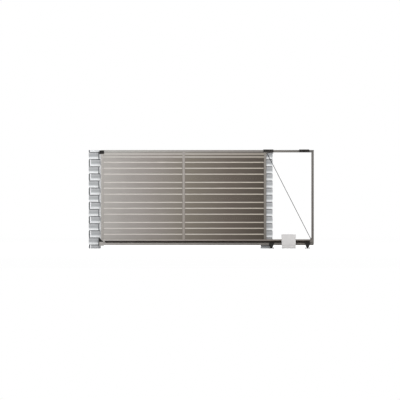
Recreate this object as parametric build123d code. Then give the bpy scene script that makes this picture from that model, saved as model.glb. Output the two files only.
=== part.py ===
from build123d import *
import os
from math import atan2, cos, degrees, pi, radians, sin, sqrt, tan

os.makedirs("parts", exist_ok=True)

# Frame: origin at the centre of the left pillar's foot, +X along the gate from the closing
# pillar towards the run-back side, +Y from the yard towards the street, +Z up. Millimetres.

# Sizes printed on the drawing; the leaf reaches 5325 mm from the left pillar's inner face
opening_width = 4000.0
counterbalance_reach = 1325.0
frame_height = 2378.0
ground_gap = 82.0
carriage_spacing = 900.0

# Masonry pillars
pillar_width = 300.0
pillar_depth = 300.0

# Leaf frame tubes
tube_size = 60.0
tube_wall = 3.0
tube_cap_thickness = 5.0
lower_beam_height = 81.0
rear_post_past_opening = 79.0
leaf_front_gap = 10.0
leaf_to_pillar = 30.0

# Running rail under the leaf, a channel open downwards
rail_width = 90.0
rail_height = 66.0
rail_wall = 4.0
rail_slot = 28.0
rail_bend = 7.0
rail_cap_thickness = 6.0

# Infill panels
panel_thickness = 40.0
panel_count = 4
first_panel_extra = 26.0
cut_panel_edge = 6.0
panel_seam = 0.5
tongue_width = 12.0
tongue_height = 8.0
tongue_gap = 0.5
groove_height = 30.0
groove_depth = 5.0
groove_flank = 6.0
groove_pitch = 148.0
groove_count = 3
cover_strip_height = 50.0
cover_strip_gap = 25.0
cover_strip_drop = 14.0

# Toothed rack and pinion
gear_module = 4.0
pressure_angle = 20.0
rack_height = 42.0
rack_width = 24.0
rack_joint = 0.5
rack_teeth_count = 80
rack_start = 107.0
rack_end_inset = 94.0
rack_standoff = 23.0
rack_backlash = 0.5
tooth_root_share = 1.25
fixing_count = 5
fixing_size = 22.0
pinion_teeth_count = 16
pinion_width = 30.0
pinion_relief = 1.5
flank_steps_count = 2
shaft_radius = 10.0

# Roller carriages standing on the ground
carriage_from_leaf_end = 156.0
carriage_plate_length = 130.0
carriage_plate_width = 140.0
carriage_plate_thickness = 10.0
carriage_bolt_x = 96.0
carriage_bolt_y = 96.0
carriage_bolt_hole = 14.0
cheek_foot_width = 40.0
cheek_top_width = 130.0
cheek_shoulder_height = 110.0
cheek_thickness = 6.0
cheek_under_rack = 6.0
stem_length = 44.0
stem_thickness = 16.0
bogie_plate_height = 34.0
bogie_plate_end = 16.0
bogie_axle_pitch = 110.0
bogie_axle_count = 2
roller_gap = 0.4
bogie_roller_width = 28.0

# Upper guides
guide_from_opening = 191.0
guide_from_leaf_end = 240.0
guide_length = 250.0
guide_plate = 8.0
guide_flange = 6.0
guide_lip_drop = 37.0
guide_over_beam = 6.0
guide_roller_radius = 20.0
guide_roller_height = 36.0
guide_roller_spread = 70.0
guide_nut_size = 19.0
guide_back_plate = 4.0
carrier_depth = 60.0
carrier_height = 40.0
carrier_pad_width = 120.0

# Catchers at the closing pillar
catcher_plate = 6.0
catcher_side_gap = 8.0
catcher_flare = 12.0
catcher_flare_length = 20.0
catcher_reach = 85.0
upper_catcher_back = 26.0
upper_catcher_height = 88.0
upper_catcher_top_drop = 10.0
lower_catcher_back = 32.0
lower_catcher_reach = 80.0
gusset_height = 92.0
catcher_flange = 110.0
tray_drop = 8.0
tray_thickness = 8.0
gusset_above_rail = 17.0
seat_ramp = 4.0

# End roller at the front of the rail
end_roller_radius = 20.0
end_roller_width = 24.0
end_hub_size = 16.0
end_fork_thickness = 6.0
end_fork_reach = 14.0
end_fork_gap = 2.0
end_block_length = 90.0
end_block_drop = 16.0

# Operator
operator_from_carriage = 426.0
operator_width = 350.0
operator_height = 355.0
operator_depth = 200.0
operator_slope_start = 120.0
operator_slope = 34.0
operator_round = 24.0
operator_base_thickness = 8.0
operator_base_overhang = 30.0
operator_bolt_x = 280.0
operator_bolt_hole = 13.0
pinion_to_housing = 8.0

# Tension rod across the counterbalance bay
rod_diameter = 14.0
rod_lug_side = 38.0
rod_lug_thickness = 20.0
rod_weld_depth = 4.0
rod_nut_length = 12.0
rod_nut_size = 20.0

running_gap = 5.0
pin_gap = 0.05
through_cut = 1.0

# Places worked out from the sizes above
left_face = pillar_width / 2
right_face = left_face + opening_width
yard_face = -pillar_depth / 2
frame_top = ground_gap + frame_height
leaf_y = yard_face - leaf_to_pillar - rail_width / 2
leaf_start = left_face + leaf_front_gap
leaf_end = right_face + counterbalance_reach
rail_top = ground_gap + rail_height
beam_top = rail_top + lower_beam_height
top_beam_under = frame_top - tube_size
tube_front = leaf_y - tube_size / 2
tube_back = leaf_y + tube_size / 2
rear_post_start = right_face + rear_post_past_opening
rail_front = leaf_y - rail_width / 2
rail_back = leaf_y + rail_width / 2
rail_centre_z = ground_gap + rail_height / 2
tooth_pitch = pi * gear_module
tooth_root = tooth_root_share * gear_module
rack_back = tube_front - rack_standoff
rack_front = rack_back - rack_width
rack_y = rack_back - rack_width / 2
pinion_radius = gear_module * pinion_teeth_count / 2
rack_first_tooth = left_face + rack_start
pinion_z = rail_top + gear_module - pinion_radius - pinion_relief
rear_carriage_x = leaf_end - carriage_from_leaf_end
carriage_x = [rear_carriage_x - carriage_spacing, rear_carriage_x]
pinion_x = carriage_x[0] + operator_from_carriage
guide_x = [right_face + guide_from_opening, leaf_end - guide_from_leaf_end]
strip_field = cover_strip_drop + 2 * cover_strip_height + cover_strip_gap
cut_panel_start = top_beam_under - strip_field - cut_panel_edge
panel_height = (cut_panel_start - beam_top - first_panel_extra) / panel_count
housing_back = rack_y - pinion_width / 2 - pinion_to_housing


def block(x, y, z):
    """A box given by its low and high limits on each axis."""
    size = Box(x[1] - x[0], y[1] - y[0], z[1] - z[0])
    return Pos(sum(x) / 2, sum(y) / 2, sum(z) / 2) * size


def rod_between(start, end, radius):
    """A round bar from one point to another."""
    line = Vector(*end) - Vector(*start)
    plane = Plane(origin=Vector(*start), z_dir=line)
    return extrude(plane * Circle(radius), line.length)


def closed_outline(points):
    """A flat face bounded by straight lines between the points."""
    return make_face(Polyline(*points, close=True).edges())


def plate_xz(points, y):
    """A plate cut to an outline of (x, z) points, between two values of y."""
    plane = Plane(origin=(0, y[1], 0), x_dir=(1, 0, 0), z_dir=(0, -1, 0))
    return extrude(plane * closed_outline(points), y[1] - y[0])


def bar_along_x(section, x, y=0.0, z=0.0):
    """A section drawn in (y, z) about the given point, drawn out between two values of x."""
    plane = Plane(origin=(x[0], y, z), x_dir=(0, 1, 0), z_dir=(1, 0, 0))
    return extrude(plane * section, x[1] - x[0])


def pillar(x_start):
    return block((x_start, x_start + pillar_width), (yard_face, -yard_face), (0, frame_top))


def hollow_tube(limits, along):
    """A frame tube between limits in x, y and z, open at both ends along one axis."""
    inner = []
    for axis, (low, high) in enumerate(limits):
        margin = -through_cut if axis == along else tube_wall
        inner.append((low + margin, high - margin))
    return block(*limits) - block(*inner)


def beam(z):
    """A horizontal tube over the whole length of the leaf."""
    return hollow_tube([(leaf_start, leaf_end), (tube_front, tube_back), z], 0)


def post(x_start):
    """An upright tube between the lower beam and the top beam."""
    return hollow_tube(
        [(x_start, x_start + tube_size), (tube_front, tube_back), (beam_top, top_beam_under)], 2
    )


def beam_end_caps():
    """Plates let into both ends of the two beams."""
    y = (tube_front + tube_wall, tube_back - tube_wall)
    ends = [(leaf_start, leaf_start + tube_cap_thickness), (leaf_end - tube_cap_thickness, leaf_end)]
    pieces = []
    for low, high in ((rail_top, beam_top), (top_beam_under, frame_top)):
        for x in ends:
            pieces.append(block(x, y, (low + tube_wall, high - tube_wall)))
    return pieces


def running_rail():
    """The rolled channel, open downwards, that rides over the roller carriages."""
    outer = RectangleRounded(rail_width, rail_height, rail_bend)
    inside = RectangleRounded(
        rail_width - 2 * rail_wall, rail_height - 2 * rail_wall, rail_bend - rail_wall
    )
    slot = Pos(0, (rail_wall - rail_height) / 2) * Rectangle(rail_slot, 2 * rail_wall)
    length = (leaf_start, leaf_end - rail_cap_thickness)
    return bar_along_x(outer - inside - slot, length, leaf_y, rail_centre_z)


def rail_end_cap():
    section = RectangleRounded(rail_width, rail_height, rail_bend)
    return bar_along_x(section, (leaf_end - rail_cap_thickness, leaf_end), leaf_y, rail_centre_z)


def panel_bays():
    """The two stretches between the uprights that hold infill."""
    first = leaf_start + tube_size
    middle = (first + rear_post_start) / 2
    return [(first, middle - tube_size / 2), (middle + tube_size / 2, rear_post_start)]


def groove_centres(panel_top):
    """Heights of the grooves of a whole panel that ends at the given height."""
    first = panel_top - panel_height / 2 - groove_pitch * (groove_count - 1) / 2
    return [first + i * groove_pitch for i in range(groove_count)]


def panel_section(z_low, z_high, grooves, recess, tongue):
    """Section of a panel: sloped grooves on both faces, a tongue above and a recess below."""
    half = panel_thickness / 2
    floor = half - groove_depth
    side = [(half, z_low)]
    for centre in grooves:
        low = centre - groove_height / 2
        high = centre + groove_height / 2
        side += [(half, low), (floor, low + groove_flank), (floor, high - groove_flank), (half, high)]
    side.append((half, z_high))
    if recess:
        y = tongue_width / 2 + tongue_gap
        side = [(y, z_low + tongue_height + tongue_gap), (y, z_low)] + side
    if tongue:
        y = tongue_width / 2
        side = side + [(y, z_high), (y, z_high + tongue_height)]
    return closed_outline(side + [(-y, z) for y, z in reversed(side)])


def panel(section):
    """One course of infill, cut to fit both bays."""
    return [bar_along_x(section, bay, leaf_y) for bay in panel_bays()]


def panel_courses():
    """Whole panels from the lower beam up, then the piece cut to the top beam."""
    courses = {}
    low = beam_top
    high = beam_top + first_panel_extra + panel_height
    for i in range(panel_count):
        section = panel_section(low, high - panel_seam, groove_centres(high), i > 0, True)
        courses[f"infill_panel_{i + 1}"] = panel(section)
        low = high
        high = high + panel_height
    courses["infill_panel_top"] = panel(panel_section(low, top_beam_under, [], True, False))
    return courses


def cover_strips():
    """Flat strips over the cut top panel, flush with the frame on both faces."""
    half = panel_thickness / 2
    pieces = []
    for i in range(2):
        z_high = top_beam_under - cover_strip_drop - i * (cover_strip_height + cover_strip_gap)
        z = (z_high - cover_strip_height, z_high)
        for bay in panel_bays():
            pieces.append(block(bay, (tube_front, leaf_y - half), z))
            pieces.append(block(bay, (leaf_y + half, tube_back), z))
    return pieces


def rack_tooth(centre):
    """Outline of one downward tooth, as (x, z) points from left to right."""
    flank = tan(radians(pressure_angle))
    middle_half = tooth_pitch / 4 - rack_backlash / 4
    tip_half = middle_half - gear_module * flank
    root_half = middle_half + tooth_root * flank
    root_z = rail_top + gear_module + tooth_root
    return [
        (centre - root_half, root_z),
        (centre - tip_half, rail_top),
        (centre + tip_half, rail_top),
        (centre + root_half, root_z),
    ]


def rack_length(x_start, teeth):
    """One length of toothed rack with its teeth pointing down."""
    top = rail_top + rack_height
    root_z = rail_top + gear_module + tooth_root
    x_end = x_start + teeth * tooth_pitch - rack_joint
    points = [(x_end, top), (x_start, top), (x_start, root_z)]
    for i in range(teeth):
        points += rack_tooth(x_start + (i + 0.5) * tooth_pitch)
    points.append((x_end, root_z))
    return plate_xz(points, (rack_front, rack_back))


def rack_pieces():
    """Start and number of teeth of each length of rack along the leaf."""
    total = int((leaf_end - rack_end_inset - rack_first_tooth) // tooth_pitch)
    pieces = []
    done = 0
    while done < total:
        teeth = min(rack_teeth_count, total - done)
        pieces.append((rack_first_tooth + done * tooth_pitch, teeth))
        done += teeth
    return pieces


def toothed_rack():
    return [rack_length(start, teeth) for start, teeth in rack_pieces()]


def six_sided(start, towards, length, size):
    """A hexagonal bar of the given size across its flats, from a point along a direction."""
    plane = Plane(origin=start, z_dir=towards)
    return extrude(plane * RegularPolygon(size / 2, 6, major_radius=False), length)


def rack_spacers():
    """Six-sided spacers between the rack and the lower beam."""
    z = rail_top + rack_height - fixing_size / 2
    pieces = []
    for start, teeth in rack_pieces():
        count = max(1, round(fixing_count * teeth / rack_teeth_count))
        step = teeth * tooth_pitch / count
        for i in range(count):
            place = (start + (i + 0.5) * step, tube_front, z)
            pieces.append(six_sided(place, (0, -1, 0), tube_front - rack_back, fixing_size))
    return pieces


def rod_line():
    """Ends of the tension rod, on the long sides of the plates in opposite corners."""
    middle = rod_lug_side / 2
    high = Vector(rear_post_start + tube_size + middle, leaf_y, top_beam_under - middle)
    low = Vector(leaf_end - tube_size - middle, leaf_y, beam_top + middle)
    return high, low


def tension_rod():
    """The diagonal rod, cut to its corner plates, with a nut before each."""
    high, low = rod_line()
    down = (low - high).normalized()
    rod = rod_between(high - down * rod_weld_depth, low + down * rod_weld_depth, rod_diameter / 2)
    for plate in rod_lugs():
        rod = rod - plate
    rod = rod + six_sided(high + down * rod_nut_length, down, rod_nut_length, rod_nut_size)
    return rod + six_sided(low - down * rod_nut_length, -down, rod_nut_length, rod_nut_size)


def rod_lugs():
    """Solid corner plates that the rod pulls on."""
    y = (leaf_y - rod_lug_thickness / 2, leaf_y + rod_lug_thickness / 2)
    x_left = rear_post_start + tube_size
    x_right = leaf_end - tube_size
    pieces = []
    for x, z, way in ((x_left, top_beam_under, 1), (x_right, beam_top, -1)):
        outline = [(x, z), (x + way * rod_lug_side, z), (x, z - way * rod_lug_side)]
        pieces.append(plate_xz(outline, y))
    return pieces


def pin_through(centre, reach, radius):
    """A round pin across the leaf, as far to each side of its middle plane."""
    x, y, z = centre
    return rod_between((x, y - reach, z), (x, y + reach, z), radius)


def pinion_flank():
    """Half outline of a pinion tooth as (radius, angle from the tooth's middle) pairs."""
    base = pinion_radius * cos(radians(pressure_angle))
    tip = pinion_radius + gear_module
    root = pinion_radius - tooth_root
    at_pitch = tan(radians(pressure_angle)) - radians(pressure_angle)
    at_base = pi / (2 * pinion_teeth_count) - rack_backlash / 4 / pinion_radius + at_pitch
    points = [(root, at_base)]
    for i in range(flank_steps_count + 1):
        radius = base + (tip - base) * i / flank_steps_count
        roll = sqrt(max(0.0, (radius / base) ** 2 - 1))
        points.append((radius, at_base - roll + atan2(roll, 1.0)))
    return points


def pinion_phase():
    """Turn that sets a tooth in the rack's nearest gap above the pinion."""
    gaps_before = round((pinion_x - rack_first_tooth) / tooth_pitch)
    return (rack_first_tooth + gaps_before * tooth_pitch - pinion_x) / pinion_radius


def pinion():
    """The toothed wheel under the rack, bored for the operator's shaft."""
    half = pinion_flank()
    points = []
    for i in range(pinion_teeth_count):
        middle = pinion_phase() + 2 * pi * i / pinion_teeth_count
        points += [(radius, middle - angle) for radius, angle in half]
        points += [(radius, middle + angle) for radius, angle in reversed(half)]
    outline = [(pinion_x + r * sin(a), pinion_z + r * cos(a)) for r, a in points]
    wheel = plate_xz(outline, (rack_y - pinion_width / 2, rack_y + pinion_width / 2))
    return wheel - pin_through((pinion_x, rack_y, pinion_z), pinion_width, shaft_radius + pin_gap)


def foot_plate(centre, size, thickness, bolt_spacing, hole):
    """A plate on the ground with four round fixing holes."""
    x, y = centre
    half_x, half_y = size[0] / 2, size[1] / 2
    plate = block((x - half_x, x + half_x), (y - half_y, y + half_y), (0, thickness))
    for side_x in (-1, 1):
        for side_y in (-1, 1):
            place = Pos(x + side_x * bolt_spacing[0] / 2, y + side_y * bolt_spacing[1] / 2, thickness / 2)
            plate = plate - place * Cylinder(hole / 2, thickness + 2 * through_cut)
    return plate


def carriage_stand(x_centre):
    """Base plate, tapered cheeks beside the rail and the stem through its slot."""
    plate = foot_plate(
        (x_centre, leaf_y),
        (carriage_plate_length, carriage_plate_width),
        carriage_plate_thickness,
        (carriage_bolt_x, carriage_bolt_y),
        carriage_bolt_hole,
    )
    foot = cheek_foot_width / 2
    wide = cheek_top_width / 2
    right_side = [
        (x_centre + foot, carriage_plate_thickness),
        (x_centre + wide, cheek_shoulder_height),
        (x_centre + wide, rail_top - cheek_under_rack),
    ]
    outline = right_side + [(2 * x_centre - x, z) for x, z in reversed(right_side)]
    inner = rail_width / 2 + running_gap
    outer = inner + cheek_thickness
    near = plate_xz(outline, (leaf_y - outer, leaf_y - inner))
    far = plate_xz(outline, (leaf_y + inner, leaf_y + outer))
    stem = block(
        (x_centre - stem_length / 2, x_centre + stem_length / 2),
        (leaf_y - stem_thickness / 2, leaf_y + stem_thickness / 2),
        (carriage_plate_thickness, rail_centre_z - bogie_plate_height / 2),
    )
    return plate + near + far + stem


def carriage_bogie(x_centre):
    """Plate inside the rail with a pair of rollers at each axle."""
    first = x_centre - bogie_axle_pitch * (bogie_axle_count - 1) / 2
    axles = [first + i * bogie_axle_pitch for i in range(bogie_axle_count)]
    bogie = block(
        (axles[0] - bogie_plate_end, axles[-1] + bogie_plate_end),
        (leaf_y - stem_thickness / 2, leaf_y + stem_thickness / 2),
        (rail_centre_z - bogie_plate_height / 2, rail_centre_z + bogie_plate_height / 2),
    )
    near = stem_thickness / 2
    far = near + bogie_roller_width
    roller_radius = rail_height / 2 - rail_wall - roller_gap
    for x in axles:
        for side in (-1, 1):
            inner_end = (x, leaf_y + side * near, rail_centre_z)
            outer_end = (x, leaf_y + side * far, rail_centre_z)
            bogie = bogie + rod_between(inner_end, outer_end, roller_radius)
    return bogie


def guide_roller_places(x_centre):
    """Upright axes of the four rollers that hold the top beam."""
    offset = guide_roller_radius + roller_gap
    places = []
    for x in (x_centre - guide_roller_spread, x_centre + guide_roller_spread):
        places += [(x, tube_front - offset), (x, tube_back + offset)]
    return places


def guide_roller_heights():
    low = top_beam_under + (tube_size - guide_roller_height) / 2
    return low, low + guide_roller_height


def guide_bracket(x_centre):
    """Inverted channel over the top beam, with the lock nuts of its rollers."""
    x = (x_centre - guide_length / 2, x_centre + guide_length / 2)
    low = frame_top + guide_over_beam
    high = low + guide_plate
    front = tube_front - 2 * guide_roller_radius - running_gap - guide_flange
    bracket = block(x, (front, yard_face), (low, high))
    bracket = bracket + block(x, (front, front + guide_flange), (frame_top - guide_lip_drop, low))
    bracket = bracket + block(x, (yard_face - guide_back_plate, yard_face), (top_beam_under, low))
    for px, py in guide_roller_places(x_centre):
        nut_start = guide_roller_heights()[1]
        nut = six_sided((px, py, nut_start), (0, 0, 1), low - nut_start, guide_nut_size)
        bracket = bracket + nut
    return bracket


def guide_rollers():
    low, high = guide_roller_heights()
    pieces = []
    for x_centre in guide_x:
        for px, py in guide_roller_places(x_centre):
            pieces.append(rod_between((px, py, low), (px, py, high), guide_roller_radius))
    return pieces


def guide_carrier():
    """Arm from the right pillar's side to the guide beyond it, hidden behind the top beam."""
    start = right_face + pillar_width
    end = guide_x[1] + guide_length / 2
    z_high = frame_top - (tube_size - carrier_height) / 2
    y = (yard_face, yard_face + carrier_depth)
    arm = hollow_tube([(start + guide_plate, end), y, (z_high - carrier_height, z_high)], 0)
    pad_z = (z_high - 2 * carrier_height, frame_top)
    return arm + block((start, start + guide_plate), (yard_face, yard_face + carrier_pad_width), pad_z)


def flared_cheek(x, y_inner, way, z):
    """A side plate whose free end bends outwards, away from the beam."""
    y_outer = y_inner + way * catcher_plate
    bend = x[1] - catcher_flare_length
    flare = way * catcher_flare
    outline = [
        (x[0], y_inner),
        (bend, y_inner),
        (x[1], y_inner + flare),
        (x[1], y_outer + flare),
        (bend, y_outer),
        (x[0], y_outer),
    ]
    return extrude(Plane.XY.offset(z[0]) * closed_outline(outline), z[1] - z[0])


def upper_catcher():
    """Forked bracket that the top beam runs into, flanged to the pillar's inner face."""
    z_high = frame_top - upper_catcher_top_drop
    z = (z_high - upper_catcher_height, z_high)
    x = (left_face - upper_catcher_back, left_face + catcher_reach)
    near = tube_front - catcher_side_gap
    far = tube_back + catcher_side_gap
    web_y = (near - catcher_plate, far + catcher_plate)
    flange_y = (far, yard_face + catcher_flange)
    fork = block((x[0], x[0] + catcher_plate), web_y, z)
    fork = fork + flared_cheek(x, near, -1, z)
    fork = fork + flared_cheek(x, far, 1, z)
    return fork + block((left_face, left_face + catcher_plate), flange_y, z)


def lower_catcher_sides():
    """Limits in y of the two side plates of the lower catcher."""
    near = rail_front - catcher_side_gap
    far = rail_back + catcher_side_gap
    return (near - catcher_plate, near), (far, far + catcher_plate)


def lower_cradle():
    """Tray and side plates round the rail's front end, with the seat of the end roller."""
    near, far = lower_catcher_sides()
    x = (left_face - lower_catcher_back, left_face + lower_catcher_reach)
    inside = x[0] + catcher_plate
    tray_top = ground_gap - tray_drop
    z = (tray_top - tray_thickness, rail_top + gusset_above_rail)
    cradle = block(x, (near[0], far[1]), (z[0], tray_top))
    cradle = cradle + block((x[0], inside), (near[0], far[1]), z)
    cradle = cradle + block(x, near, z) + block(x, far, z)
    flange_y = (far[0], yard_face + catcher_flange)
    cradle = cradle + block((left_face, left_face + catcher_plate), flange_y, z)
    seat_top = rail_centre_z - end_roller_radius - roller_gap
    nose = leaf_start - running_gap
    seat = [
        (inside, tray_top),
        (nose, tray_top),
        (nose, seat_top - seat_ramp),
        (nose - seat_ramp, seat_top),
        (inside, seat_top),
    ]
    return cradle + plate_xz(seat, (leaf_y - end_roller_width, leaf_y + end_roller_width))


def lower_gussets():
    """Triangular ears and their web, standing on the cradle."""
    near, far = lower_catcher_sides()
    x = (left_face - lower_catcher_back, left_face + lower_catcher_reach)
    inside = x[0] + catcher_plate
    foot = rail_top + gusset_above_rail
    peak = foot + gusset_height
    outline = [(x[0], foot), (x[1], foot), (inside, peak), (x[0], peak)]
    web = block((x[0], inside), (near[0], far[1]), (foot, peak))
    return plate_xz(outline, near) + plate_xz(outline, far) + web


def end_roller_fork():
    """Block bolted inside the rail's front end, with the fork and the end roller on its axle."""
    x_roller = leaf_start - leaf_front_gap
    x_open = x_roller + end_roller_radius + running_gap
    half_block = rail_width / 2 - rail_bend
    z_block = (rail_centre_z - end_block_drop, rail_top - rail_wall)
    fork = block(
        (x_open, leaf_start + end_block_length), (leaf_y - half_block, leaf_y + half_block), z_block
    )
    inner = end_roller_width / 2 + end_fork_gap
    outer = inner + end_fork_thickness
    x_arm = (x_roller - end_fork_reach, x_open)
    z_arm = (rail_centre_z - end_fork_reach, rail_centre_z + end_fork_reach)
    fork = fork + block(x_arm, (leaf_y - outer, leaf_y - inner), z_arm)
    fork = fork + block(x_arm, (leaf_y + inner, leaf_y + outer), z_arm)
    centre = (x_roller, leaf_y, rail_centre_z)
    hub = six_sided((x_roller, leaf_y - inner, rail_centre_z), (0, 1, 0), 2 * inner, end_hub_size)
    return fork + hub + pin_through(centre, end_roller_width / 2, end_roller_radius)


def operator_base():
    """Foot plate of the operator with its fixing holes before and behind the housing."""
    return foot_plate(
        (pinion_x, housing_back - operator_depth / 2),
        (operator_width, operator_depth + 2 * operator_base_overhang),
        operator_base_thickness,
        (operator_bolt_x, operator_depth + operator_base_overhang),
        operator_bolt_hole,
    )


def operator_housing():
    """Closed housing with a leaning front, and the pinion's shaft on the leaf's side."""
    front = housing_back - operator_depth
    section = closed_outline(
        [
            (housing_back, operator_base_thickness),
            (front, operator_base_thickness),
            (front, operator_slope_start),
            (front + operator_slope, operator_height),
            (housing_back, operator_height),
        ]
    )
    section = fillet(section.vertices().sort_by(Axis.Y)[-2:], operator_round)
    half = operator_width / 2
    housing = bar_along_x(section, (pinion_x - half, pinion_x + half))
    shaft_end = (pinion_x, rack_y + pinion_width / 2, pinion_z)
    return housing + rod_between((pinion_x, housing_back, pinion_z), shaft_end, shaft_radius)


def write(name, solids):
    """Write one node, given as a shape or as a list of shapes that don't touch."""
    shapes = solids if isinstance(solids, list) else [solids]
    whole = Compound(children=[solid for shape in shapes for solid in shape.solids()])
    whole.label = name
    export_step(whole, f"parts/{name}.step")


write("left_pillar", pillar(-left_face))
write("right_pillar", pillar(right_face))

write("leaf_top_beam", beam((top_beam_under, frame_top)))
write("leaf_lower_beam", beam((rail_top, beam_top)))
write("leaf_front_post", post(leaf_start))
write("leaf_middle_strut", post(panel_bays()[0][1]))
write("leaf_rear_post", post(rear_post_start))
write("leaf_end_post", post(leaf_end - tube_size))
write("beam_end_caps", beam_end_caps())
write("running_rail", running_rail())
write("rail_end_cap", rail_end_cap())
for course_name, course in panel_courses().items():
    write(course_name, course)
write("top_cover_strips", cover_strips())
write("toothed_rack", toothed_rack())
write("rack_spacers", rack_spacers())
write("tension_rod", tension_rod())
write("tension_rod_lugs", rod_lugs())
write("end_roller_fork", end_roller_fork())

for place, x_centre in zip(("front", "rear"), carriage_x):
    write(f"{place}_carriage_stand", carriage_stand(x_centre))
write("carriage_bogies", [carriage_bogie(x_centre) for x_centre in carriage_x])
for place, x_centre in zip(("front", "rear"), guide_x):
    write(f"{place}_guide_bracket", guide_bracket(x_centre))
write("guide_rollers", guide_rollers())
write("guide_carrier", guide_carrier())
write("upper_catcher", upper_catcher())
write("lower_catcher_cradle", lower_cradle())
write("lower_catcher_gussets", lower_gussets())
write("operator_base", operator_base())
write("operator_housing", operator_housing())
write("pinion", pinion())
print("pinion of radius", pinion_radius, "at height", pinion_z)
print("turns", round(degrees(opening_width / pinion_radius)), "degrees over the travel")
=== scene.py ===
import math
import random
import bmesh
import bpy
from functools import cache
from mathutils import Matrix, Vector, noise


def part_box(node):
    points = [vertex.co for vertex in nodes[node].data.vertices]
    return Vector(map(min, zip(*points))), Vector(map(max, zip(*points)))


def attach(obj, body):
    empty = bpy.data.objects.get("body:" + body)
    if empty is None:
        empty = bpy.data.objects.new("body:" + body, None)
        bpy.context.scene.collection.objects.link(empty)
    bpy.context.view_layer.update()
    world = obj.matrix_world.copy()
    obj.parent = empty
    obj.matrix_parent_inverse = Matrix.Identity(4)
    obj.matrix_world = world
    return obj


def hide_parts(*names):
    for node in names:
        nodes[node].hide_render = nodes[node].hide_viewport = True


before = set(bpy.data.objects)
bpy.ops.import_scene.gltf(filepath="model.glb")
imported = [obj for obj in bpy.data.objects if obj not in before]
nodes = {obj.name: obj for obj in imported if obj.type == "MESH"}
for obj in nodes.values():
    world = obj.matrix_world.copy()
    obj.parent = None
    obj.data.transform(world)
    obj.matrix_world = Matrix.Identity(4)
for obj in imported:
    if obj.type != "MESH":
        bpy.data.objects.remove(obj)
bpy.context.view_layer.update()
random.seed(41)
print("frame loaded with", len(nodes), "nodes")

# limits that several pieces share, read from the CAD nodes, in metres
beamLow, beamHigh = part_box("leaf_top_beam")
lowerLow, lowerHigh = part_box("leaf_lower_beam")
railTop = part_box("running_rail")[1].z
leafMiddle = (beamLow.y + beamHigh.y) / 2
postNames = ["leaf_front_post", "leaf_middle_strut", "leaf_rear_post", "leaf_end_post"]
standNames = ["front_carriage_stand", "rear_carriage_stand"]
bracketNames = ["front_guide_bracket", "rear_guide_bracket"]
firstJoint, course = 0.09, 0.178  # heights in both pillars
zinc = ("zinc_steel", ["zincFastener"])  # slot and look of the fasteners
finishes = {}  # materials by name


def display(colour):
    # colour as seen on screen, 0 to 255, turned into the linear values that shaders use
    linear = []
    for part in colour:
        value = part / 255
        linear.append(value / 12.92 if value <= 0.04045 else ((value + 0.055) / 1.055) ** 2.4)
    return (*linear, 1.0)


def addObject(name, data):
    # puts a lamp, a camera or a finished bmesh into the scene
    if isinstance(data, bmesh.types.BMesh):
        mesh = data
        data = bpy.data.meshes.new(name)
        mesh.to_mesh(data)
        mesh.free()
    thing = bpy.data.objects.new(name, data)
    bpy.context.scene.collection.objects.link(thing)
    return thing


def finishPiece(name, mesh, slot, looks, replaced=(), smooth=35, body="fixed_parts"):
    # turns a bmesh into an object that rides on a body, with edges above the angle kept sharp
    bmesh.ops.recalc_face_normals(mesh, faces=mesh.faces)
    mesh.normal_update()
    limit = math.radians(smooth)
    for edge in mesh.edges:
        edge.smooth = len(edge.link_faces) == 2 and edge.calc_face_angle(0) < limit
    for face in mesh.faces:
        face.smooth = True
    piece = addObject(name, mesh)
    for look in looks:
        piece.data.materials.append(finishes[look])
    flats = piece.modifiers.new("flatsKeptFlat", "WEIGHTED_NORMAL")
    flats.keep_sharp = True
    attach(piece, body)
    if replaced:
        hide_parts(*replaced)


def addBox(mesh, low, high, bevel, segments=2):
    # a box with rounded edges
    verts = bmesh.ops.create_cube(mesh, size=1.0)["verts"]
    for vert in verts:
        vert.co = [(low[i] + high[i]) / 2 + vert.co[i] * (high[i] - low[i]) for i in range(3)]
    edges = list(dict.fromkeys(edge for vert in verts for edge in vert.link_edges))
    bmesh.ops.bevel(mesh, geom=edges, offset=bevel, segments=segments, profile=0.5, affect="EDGES")


def bridgeRings(mesh, rings, joined=False):
    # faces between rings of points; the ends are closed, or joined to each other
    made = [[mesh.verts.new(point) for point in ring] for ring in rings]
    count = len(made[0])
    pairs = list(zip(made, made[1:]))
    if joined:
        pairs.append((made[-1], made[0]))
    for first, second in pairs:
        for i in range(count):
            j = (i + 1) % count
            mesh.faces.new((first[i], first[j], second[j], second[i]))
    if not joined:
        mesh.faces.new(list(reversed(made[0])))
        mesh.faces.new(made[-1])


def addLathe(mesh, origin, direction, profile, segments, turn=0.0):
    # revolves (radius, distance) points about the direction; a radius of nought closes the end
    place = Vector(direction).to_track_quat("Z", "Y").to_matrix().to_4x4()
    place.translation = origin
    rings = []
    for radius, along in profile:
        ring = []
        for i in range(segments if radius > 0 else 1):
            angle = turn + 2 * math.pi * i / segments
            spot = Vector((radius * math.cos(angle), radius * math.sin(angle), along))
            ring.append(mesh.verts.new(place @ spot))
        rings.append(ring)
    for first, second in zip(rings, rings[1:]):
        for i in range(segments):
            # next to an end of one point the face is a triangle
            steps = ((first, i), (first, i + 1), (second, i + 1), (second, i))
            corners = dict.fromkeys(ring[step % len(ring)] for ring, step in steps)
            mesh.faces.new(list(corners))


# fasteners, as shares of the thread's diameter or of the head's own radius and height
fastener = dict(
    washer=1.05, washerHigh=0.16, head=1.6, headHigh=0.62, chamfer=0.14, crown=0.9,
    threadFoot=0.6, threadPitch=0.16, root=0.46, crest=0.5, tip=0.4, screwSunk=0.001,
    screwHead=[(1, 0.35), (0.8, 0.8), (0.6, 1), (0.45, 1), (0.45, 0.2), (0, 0.2)],
)


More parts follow.
